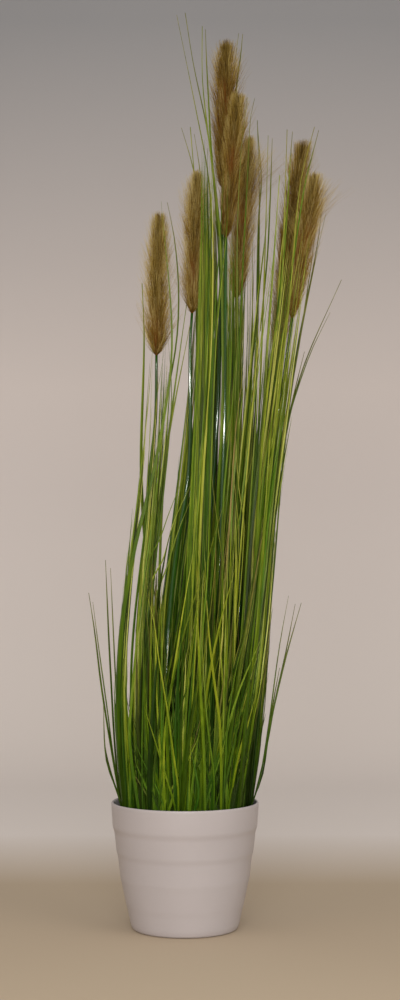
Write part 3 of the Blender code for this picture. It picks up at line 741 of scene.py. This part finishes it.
def add_strands(shape, bunch, strands, dice):
    """The blades that stand out before their bunch."""
    front = -BUNCH_DEPTH - STRAND_CLEARANCE
    for number, (width, tone, dry, points) in enumerate(strands):
        depth = front - STRAND_SPACING * number
        facing, twist = random_turn(STRAND_TURN, dice)
        line = rooted(bunch, points)
        add_blade(shape, line, bunch.lane, depth, width, dice, tone, dry, facing, twist, step=STRAND_STEP)


def add_stem(shape, lane, line):
    share = np.linspace(0.0, 1.0, STEM_STEPS + 1)
    z = blend(line[0][1], line[-1][1], share)
    centre = settle(curve_at(line, z), lane, z)
    radius = blend(STEM_RADIUS, STEM_TOP_RADIUS, share**STEM_TAPER) * MM
    angle = around(STEM_SIDES)
    front = np.sign(np.sin(angle)) * (1.0 - np.cos(angle) ** STEM_SQUARENESS) ** (1.0 / STEM_SQUARENESS)
    ring = np.stack([np.cos(angle), front * STEM_FLATNESS, 0.0 * angle], axis=-1)
    shape.add(centre[:, None, :] + ring[None] * radius[:, None, None], tube_faces(STEM_STEPS + 1, STEM_SIDES))


class Plume:
    """A bottle-brush plume: bristles that rise from the middle rib and flare, trimmed level at the top.

    Half of the bristles keep to locks. The others are loose, and those of the fringe reach past the rest. A
    streak of bristles lies over the front.
    """

    def __init__(self, lane, foot, tip, form, seed):
        self.lane, self.foot, self.tip, self.form = lane, foot, tip, form
        self.dice = np.random.default_rng(seed)
        self.gather()
        self.turn()
        self.spread()
        self.trim_top()

    def middle(self, share):
        """Points of the rib at shares of the plume's length."""
        x, z = (blend(low, high, share) for low, high in zip(self.foot, self.tip))
        return settle(x, self.lane, z)

    def gather(self):
        """Which lock each bristle keeps to, and where it starts and ends along the rib."""
        dice = self.dice
        self.lock = dice.integers(0, LOCKS, BRISTLES)
        lock_end = LOWEST_LOCK + LOCK_SPAN * (np.arange(LOCKS) + dice.uniform(0.0, 1.0, LOCKS)) / LOCKS
        self.lock_angle = dice.uniform(0.0, math.tau, LOCKS)
        self.lock_reach = dice.uniform(*LOCK_REACH, LOCKS)
        kind = dice.random(BRISTLES)
        self.loose = kind < LOOSE_SHARE
        self.fringe = kind < FRINGE_SHARE
        self.streak = kind > 1.0 - STREAK_SHARE
        loose_end = dice.uniform(*LOOSE_ENDS, BRISTLES)
        own_end = lock_end[self.lock] + dice.normal(0.0, LOCK_RAGGED, BRISTLES)
        self.end = np.where(self.loose, loose_end, own_end)
        length = math.hypot(self.tip[0] - self.foot[0], self.tip[1] - self.foot[1])
        rise = dice.uniform(*BRISTLE_RISE, BRISTLES) / length
        self.root = np.clip(self.end - rise, 0.0, HIGHEST_ROOT)
        self.rise = np.maximum(self.end - self.root, LEAST_RISE)

    def turn(self):
        """Which way around the rib each bristle points, and how it bends on its way out."""
        dice = self.dice
        own_angle = dice.normal(0.0, LOCK_SPREAD, BRISTLES)
        loose_angle = dice.uniform(0.0, math.tau, BRISTLES)
        angle = np.where(self.loose, loose_angle, self.lock_angle[self.lock] + own_angle)
        bend = np.where(self.loose, dice.normal(0.0, LOOSE_BEND, BRISTLES), -LOCK_CLOSING * own_angle)
        self.angle = np.where(self.streak, dice.normal(STREAK_ANGLE, STREAK_SPREAD, BRISTLES), angle)
        self.bend = np.where(self.streak, STREAK_BEND * bend, bend)

    def spread(self):
        """How far each bristle reaches from the rib, as a share of the plume's own reach and in all."""
        dice, form = self.dice, self.form
        fringe_reach = blend(*FRINGE_REACH, dice.random(BRISTLES) ** 2)
        loose_reach = np.where(self.fringe, fringe_reach, dice.uniform(*LOOSE_REACH, BRISTLES))
        lock_reach = LOCK_SCALE * self.lock_reach[self.lock] * dice.normal(1.0, LOCK_UNEVEN, BRISTLES)
        own_reach = np.where(self.loose, loose_reach, lock_reach)
        self.own_reach = np.where(self.streak, dice.uniform(*STREAK_REACH, BRISTLES), own_reach)
        side = np.cos(self.angle + self.bend) * math.copysign(1.0, form.flare)
        near = np.exp(-(((self.end - form.flare_share) / FLARE_WIDTH) ** 2))
        flare = abs(form.flare) * near * np.clip(side, 0.0, 1.0) * np.where(self.loose, 1.0, LOCK_FLARE)
        widest = form.scale * blend(np.array(SLENDER_REACH), np.array(FULL_REACH), form.full)
        widest[-2:] = blend(widest[-3], form.top_reach, SHOULDER), form.top_reach
        reach = np.interp(np.clip(self.end, 0.0, 1.0), PLUME_SHARES, widest)
        self.reach = reach * self.own_reach * (1.0 + flare)

    def trim_top(self):
        """Cuts off what passes the top, and sets how thick each bristle is."""
        dice = self.dice
        top = 1.0 - dice.uniform(*TOP_TRIM, BRISTLES)
        trim = np.where(self.end > 1.0, (top - self.root) / self.rise, 1.0)
        self.trim = np.clip(trim, LEAST_TRIM, 1.0)
        fringe_thickness = dice.uniform(*FRINGE_THICKNESS, BRISTLES)
        self.thick = np.where(self.fringe, fringe_thickness, dice.uniform(*BRISTLE_THICKNESS, BRISTLES))

    def bristle_points(self):
        """A few small rings along every bristle."""
        rows = []
        for place, size in BRISTLE_RINGS:
            share = place * self.trim
            out = np.clip(share * (1.0 + BRISTLE_CURVE - BRISTLE_CURVE * share), 0.0, 1.0)
            turn = self.angle + self.bend * share
            away = flat_ring(turn, blend(BRISTLE_START, self.reach, out)) * MM
            centre = self.middle(self.root + self.rise * share) + away
            for corner in range(BRISTLE_SIDES):
                angle = turn + math.tau * corner / BRISTLE_SIDES
                rows.append(centre + flat_ring(angle, self.thick * size * 0.5 * MM))
        return np.stack(rows, axis=1)

    def bristle_looks(self):
        """How light and how rusty each bristle is."""
        dice = self.dice
        lock_tone = dice.normal(0.0, LOCK_TONE, LOCKS)
        lock_rust = dice.uniform(*LOCK_RUST, LOCKS)
        middle, uneven = PLUME_TONE
        tone = np.where(self.loose, LOOSE_TONE, lock_tone[self.lock])
        tone = tone + dice.normal(middle + self.form.lighter, uneven, BRISTLES)
        tone = tone + REACH_TONE * (self.own_reach - REACH_MIDDLE) - np.where(self.fringe, FRINGE_SHADE, 0.0)
        low_down = np.clip(RUST_FADE * (RUST_TOP - self.root), 0.0, 1.0)
        rust = lock_rust[self.lock] * low_down * (RUST_REACH - self.own_reach)
        patches = dice.uniform(*STREAK_RUST)[:, None]
        streak_rust = np.exp(-(((self.end - patches) / STREAK_RUST_WIDTH) ** 2)).max(axis=0)
        return np.clip(tone, 0.0, 1.0), np.where(self.streak, streak_rust, rust)

    def add_bristles(self, shape):
        rings = len(BRISTLE_RINGS)
        corners = rings * BRISTLE_SIDES
        one = tube_faces(rings, BRISTLE_SIDES)
        faces = [tuple(corners * number + i for i in face) for number in range(BRISTLES) for face in one]
        tone, rust = self.bristle_looks()
        places = np.repeat([place for place, _ in BRISTLE_RINGS], BRISTLE_SIDES)
        length = self.trim * np.where(self.streak, STREAK_ALONG, 1.0)
        shape.add(
            self.bristle_points(),
            faces,
            tone=np.repeat(tone, corners),
            along=np.tile(places, BRISTLES) * np.repeat(length, corners),
            rust=np.repeat(rust, corners),
        )

    def add_rib(self, shape):
        share = np.linspace(0.0, RIB_TOP, RIB_RINGS)
        radius = blend(*RIB_RADII, share) * MM
        points = self.middle(share)[:, None, :] + flat_ring(around(RIB_SIDES))[None] * radius[:, None, None]
        shape.add(points, tube_faces(RIB_RINGS, RIB_SIDES), tone=RIB_TONE, along=0.0, rust=RIB_RUST)


def rounded(profile):
    """A profile with its corners rounded off."""
    points = [profile[0]]
    for before, here, after in zip(profile, profile[1:], profile[2:]):
        corner = Vector(here)
        back, on = Vector(before) - corner, Vector(after) - corner
        reach = min(POT_ROUNDING, ROUNDING_SHARE * back.length, ROUNDING_SHARE * on.length)
        start = corner + back.normalized() * reach
        end = corner + on.normalized() * reach
        for i in range(ROUNDING_STEPS + 1):
            t = i / ROUNDING_STEPS
            points.append(tuple(start * (1 - t) ** 2 + corner * 2 * t * (1 - t) + end * t**2))
    points.append(profile[-1])
    return points


def pot_outline():
    """From the middle of the pot's floor, over its rim and down its bands, to the middle of its base."""
    profile = [*POT_INSIDE, *POT_RIM]
    for high, radius, low, low_radius in POT_BANDS:
        profile += [(radius, high - STEP_SOFTNESS), (low_radius, low + STEP_SOFTNESS)]
    return rounded([*profile, *POT_BASE])


def make_pot(material):
    outline = pot_outline()
    angle = around(POT_SIDES)
    rings = [(flat_ring(angle, radius) + (0.0, 0.0, z)) * MM for radius, z in outline[1:-1]]
    ends = np.array([(0.0, 0.0, outline[0][1]), (0.0, 0.0, outline[-1][1])]) * MM
    faces = tube_faces(len(rings), POT_SIDES, capped=False)
    inner = len(rings) * POT_SIDES
    last = inner - POT_SIDES
    for side in range(POT_SIDES):
        after = (side + 1) % POT_SIDES
        faces += [(inner, after, side), (inner + 1, last + side, last + after)]
    shape = Shape()
    shape.add(np.concatenate([*rings, ends]), [tuple(reversed(face)) for face in faces])
    return shape.piece("pot_body", material)


def srgb(*colour):
    """A linear colour from the 0 to 255 numbers of a screen colour."""
    shares = [value / 255.0 for value in colour]
    return tuple(v / 12.92 if v <= 0.04045 else ((v + 0.055) / 1.055) ** 2.4 for v in shares)


class Nodes:
    """Short calls for building a material's nodes. Colours are screen colours."""

    def __init__(self, name):
        self.material = bpy.data.materials.new(name)
        self.material.use_nodes = True
        self.tree = self.material.node_tree
        self.shader = self.tree.nodes["Principled BSDF"]

    def node(self, kind, **settings):
        node = self.tree.nodes.new(kind)
        for key, value in settings.items():
            setattr(node, key, value)
        return node

    def join(self, output, input_socket):
        self.tree.links.new(output, input_socket)

    def value(self, name):
        """A value that the mesh has at each point."""
        return self.node("ShaderNodeAttribute", attribute_name=name).outputs["Fac"]

    def place(self, scale):
        mapping = self.node("ShaderNodeMapping")
        mapping.inputs["Scale"].default_value = scale
        coordinates = self.node("ShaderNodeTexCoord")
        self.join(coordinates.outputs["Object"], mapping.inputs["Vector"])
        return mapping.outputs["Vector"]

    def distance(self, axis):
        """How far along an axis a point lies, in metres."""
        split = self.node("ShaderNodeSeparateXYZ")
        self.join(self.place((1.0, 1.0, 1.0)), split.inputs["Vector"])
        return split.outputs[axis]

    def noise(self, scale, detail, rough=0.5):
        """Soft random patches, with this many to a metre along X, Y and Z."""
        noise = self.node("ShaderNodeTexNoise")
        noise.inputs["Scale"].default_value = 1.0
        noise.inputs["Detail"].default_value = detail
        noise.inputs["Roughness"].default_value = rough
        self.join(self.place(scale), noise.inputs["Vector"])
        return noise.outputs["Fac"]

    def ramp(self, source, stops):
        ramp = self.node("ShaderNodeValToRGB")
        elements = ramp.color_ramp.elements
        while len(elements) < len(stops):
            elements.new(0.5)
        for element, (position, colour) in zip(elements, stops):
            element.position = position
            element.color = (*srgb(*colour), 1.0)
        self.join(source, ramp.inputs["Fac"])
        return ramp.outputs["Color"]

    def fade(self, source, low, high):
        """0 up to the low value, 1 from the high one, and even between them."""
        return self.ramp(source, ((low, BLACK), (high, WHITE)))

    def math(self, kind, a, b=0.0):
        node = self.node("ShaderNodeMath", operation=kind)
        for socket, source in zip(node.inputs, (a, b)):
            if isinstance(source, (int, float)):
                socket.default_value = source
            else:
                self.join(source, socket)
        return node.outputs[0]

    def shift(self, value, source, middle, strength):
        """A value, moved by how far another one is from its middle."""
        return self.math("ADD", value, self.math("MULTIPLY", self.math("SUBTRACT", source, middle), strength))

    def mix(self, share, a, b):
        node = self.node("ShaderNodeMix", data_type="RGBA")
        self.join(share, node.inputs[0])
        for socket, source in ((node.inputs[6], a), (node.inputs[7], b)):
            if isinstance(source, tuple):
                socket.default_value = (*srgb(*source), 1.0)
            else:
                self.join(source, socket)
        return node.outputs[2]

    def span(self, source, low, high):
        node = self.node("ShaderNodeMapRange")
        node.inputs["To Min"].default_value = low
        node.inputs["To Max"].default_value = high
        self.join(source, node.inputs["Value"])
        return node.outputs["Result"]

    def bump(self, height, strength, distance):
        bump = self.node("ShaderNodeBump")
        bump.inputs["Strength"].default_value = strength
        bump.inputs["Distance"].default_value = distance
        self.join(height, bump.inputs["Height"])
        self.join(bump.outputs["Normal"], self.shader.inputs["Normal"])

    def shine(self, level):
        self.shader.inputs["Specular IOR Level"].default_value = level

    def finish(self, colour, roughness):
        self.join(colour, self.shader.inputs["Base Color"])
        self.join(roughness, self.shader.inputs["Roughness"])
        return self.material


def leaf_material():
    n = Nodes("grass_leaf")
    streaks = n.noise((900.0, 900.0, 14.0), detail=2.0)
    patches = n.noise((25.0, 25.0, 12.0), detail=2.0)
    tone = n.shift(n.value("tone"), streaks, middle=0.5, strength=0.45)
    tone = n.shift(tone, patches, middle=0.5, strength=0.45)
    # Leaves are lighter higher up: partly their own yellower colour, partly painted shade low down where the
    # grass is dense.
    tone = n.shift(tone, n.distance("Z"), middle=0.28, strength=0.5)
    cool = n.math("MULTIPLY", n.math("POWER", n.value("cool"), COOL_RARITY), COOL_SHARE)
    green = n.mix(cool, n.ramp(tone, WARM_LEAF), n.ramp(tone, COOL_LEAF))
    tip = n.math("POWER", n.value("along"), TIP_DRYNESS)
    withered = n.math("MULTIPLY", tip, n.value("dry"))
    colour = n.mix(withered, green, n.ramp(streaks, DRY_LEAF))
    ribs = n.math("SINE", n.math("MULTIPLY", n.value("across"), LEAF_RIBS))
    n.bump(n.math("ADD", n.math("MULTIPLY", ribs, RIB_HEIGHT), streaks), strength=0.35, distance=0.0003)
    n.shine(0.2)
    n.shader.inputs["Specular Tint"].default_value = LEAF_GLINT
    return n.finish(colour, n.span(streaks, low=0.24, high=0.5))


def stem_material():
    n = Nodes("glossy_stem")
    streaks = n.noise((700.0, 700.0, 10.0), detail=2.0)
    patches = n.noise((40.0, 40.0, 16.0), detail=3.0)
    colour = n.mix(n.math("MULTIPLY", streaks, 0.4), n.ramp(patches, STEM_GREEN), STEM_STREAK)
    n.bump(streaks, strength=0.08, distance=0.0001)
    n.shine(0.27)
    return n.finish(colour, n.span(patches, low=0.06, high=0.1))


def plume_material():
    n = Nodes("plume_bristle")
    patches = n.noise((60.0, 60.0, 40.0), detail=3.0)
    grain = n.noise((2500.0, 2500.0, 600.0), detail=1.0)
    tone = n.shift(n.value("tone"), n.value("along"), middle=0.55, strength=0.9)
    tone = n.shift(tone, patches, middle=0.5, strength=0.45)
    core = n.span(n.value("along"), low=1.0, high=0.2)
    rust = n.math("MULTIPLY", core, n.value("rust"))
    colour = n.mix(rust, n.ramp(tone, PLUME_TAN), PLUME_RUST)
    n.bump(grain, strength=0.2, distance=0.0001)
    n.shine(0.2)
    return n.finish(colour, n.span(patches, low=0.5, high=0.75))


def pot_material():
    n = Nodes("pot_white_plastic")
    cloud = n.noise((9.0, 9.0, 9.0), detail=4.0)
    grain = n.noise((1400.0, 1400.0, 1400.0), detail=2.0)
    scuffs = n.noise((60.0, 60.0, 260.0), detail=5.0, rough=0.65)
    colour = n.mix(n.span(scuffs, low=0.0, high=0.1), n.ramp(cloud, POT_WHITE), POT_SCUFF)
    n.bump(n.math("ADD", n.math("MULTIPLY", grain, 0.5), cloud), strength=0.08, distance=0.0006)
    return n.finish(colour, n.span(scuffs, low=0.3, high=0.46))


def filler_material():
    n = Nodes("dark_filler")
    lumps = n.noise((260.0, 260.0, 260.0), detail=5.0, rough=0.7)
    n.bump(lumps, strength=0.9, distance=0.003)
    return n.finish(n.ramp(lumps, FILLER_DARK), n.span(lumps, low=0.75, high=0.95))


def backdrop_material():
    n = Nodes("backdrop")
    soft = n.noise((1.2, 1.2, 1.2), detail=1.0)
    foot, low, high = (n.ramp(soft, colours) for colours in (WALL_FOOT, WALL_LOW, WALL_HIGH_PAINTED_SHADE))
    start = n.fade(n.distance("Z"), *WALL_START)
    # Painted shade: the wall fades to a darker grey towards its top.
    rise = n.fade(n.math("MULTIPLY", n.distance("Z"), PAINTED_SHADE_SCALE), *PAINTED_SHADE_RISE)
    wall = n.mix(rise, n.mix(start, foot, low), high)
    lift = n.fade(n.distance("Y"), *FLOOR_TO_WALL)
    return n.finish(n.mix(lift, n.ramp(soft, FLOOR_TAN), wall), n.span(soft, low=0.85, high=0.95))


def make_backdrop(material):
    """A pale floor, and a plain wall behind the plant that curves up from it."""
    start = WALL_BACK - WALL_CURVE
    line = [(start - before, height) for before, height in WALL_LEAD_IN]
    for i in range(1, WALL_CURVE_STEPS + 1):
        turn = i / WALL_CURVE_STEPS * math.pi / 2
        line.append((start + math.sin(turn) * WALL_CURVE, WALL_CURVE - math.cos(turn) * WALL_CURVE))
    line.append((WALL_BACK, WALL_TOP))
    points = [(x, y, z) for y, z in line for x in (-WALL_HALF_WIDTH, WALL_HALF_WIDTH)]
    faces = [(2 * i, 2 * i + 1, 2 * i + 3, 2 * i + 2) for i in range(len(line) - 1)]
    shape = Shape()
    shape.add(points, faces)
    corners = [(x * FLOOR_REACH, y * FLOOR_REACH, 0.0) for x, y in ((-1, -1), (1, -1), (1, 1), (-1, 1))]
    shape.add(corners, [(0, 1, 2, 3)])
    shape.piece("backdrop", material)


def add_light(name, place, target, size, power, colour):
    data = bpy.data.lights.new(name, "AREA")
    data.shape = "RECTANGLE"
    data.size, data.size_y = size
    data.energy = power
    data.color = colour
    light = link(bpy.data.objects.new(name, data))
    light.location = place
    light.rotation_euler = (Vector(target) - Vector(place)).to_track_quat("-Z", "Y").to_euler()


def make_studio():
    make_backdrop(backdrop_material())
    for light in LIGHTS:
        add_light(*light)
    world = bpy.data.worlds.new("studio")
    world.use_nodes = True
    background = world.node_tree.nodes["Background"]
    background.inputs["Color"].default_value = SKY_COLOUR
    background.inputs["Strength"].default_value = SKY_STRENGTH
    bpy.context.scene.world = world
    bpy.context.scene.view_settings.view_transform = "Standard"


def make_camera():
    data = bpy.data.cameras.new("camera")
    data.sensor_fit = "VERTICAL"
    data.sensor_width = CAMERA_SENSOR
    data.sensor_height = CAMERA_SENSOR
    data.lens = CAMERA_LENS
    data.shift_y = CAMERA_SHIFT
    camera = link(bpy.data.objects.new("camera", data))
    camera.location = CAMERA_PLACE
    camera.rotation_euler = (math.pi / 2, 0.0, 0.0)
    bpy.context.scene.camera = camera


def place_piece(piece, node):
    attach(piece, "root")
    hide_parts(node)


def make_plumes(stem_skin, plume_skin):
    """Every stem with its plume, which starts just below the stem's top."""
    for label, lane, line, tip in PLUMES:
        stem = Shape()
        add_stem(stem, lane, line)
        place_piece(stem.piece("fine_stem_" + label, stem_skin), "stem_" + label)
        x, z = line[-1]
        form = PlumeForm(*PLUME_FORMS[label])
        plume = Plume(lane, (x, z - PLUME_OVERLAP), tip, form, PLUME_SEED + int(label))
        brush = Shape()
        plume.add_bristles(brush)
        plume.add_rib(brush)
        place_piece(brush.piece("fine_plume_" + label, plume_skin), "plume_" + label)


def make_leaves(skin):
    """The single leaves, each with the hairs that grow beside it."""
    for number, (lane, width, tone, dry, line) in enumerate(LEAVES, 1):
        dice = random.Random(number)
        leaf = Shape()
        facing, twist = random_turn(LEAF_TURN, dice)
        add_blade(leaf, line, lane, 0.0, width, dice, tone, dry, facing, twist, hair=width < HAIR_WIDTH)
        for _, width, tone, dry, line in [row for row in HAIRS if row[0] == number]:
            facing = dice.gauss(0.0, LEAF_TURN[0])
            add_blade(leaf, line, lane, 0.0, width, dice, tone, dry, facing, 0.0, hair=True)
        place_piece(leaf.piece(f"fine_leaf_{number:02d}", skin), f"leaf_{number:02d}")


def make_bunches(skin):
    for number, row in enumerate(BUNCHES, 1):
        bunch = Bunch(*row)
        dice = random.Random(BUNCH_SEED + number)
        shape = Shape()
        # The bunch's tone; bunch 3's is set darker as painted shade.
        tone = BUNCH_TONE_AND_SHADE.get(number, COMMON_TONE)
        fill_bunch(shape, bunch, tone, TIP_SPREAD.get(number, COMMON_SPREAD), dice)
        add_strands(shape, bunch, [strand[1:] for strand in STRANDS if strand[0] == number], dice)
        place_piece(shape.piece(f"fine_bunch_{number:02d}", skin), f"leaf_bunch_{number:02d}")


place_piece(make_pot(pot_material()), "pot")
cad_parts["filler"].data.materials[0] = filler_material()
make_plumes(stem_material(), plume_material())
leaf_skin = leaf_material()
make_leaves(leaf_skin)
make_bunches(leaf_skin)
make_studio()
make_camera()
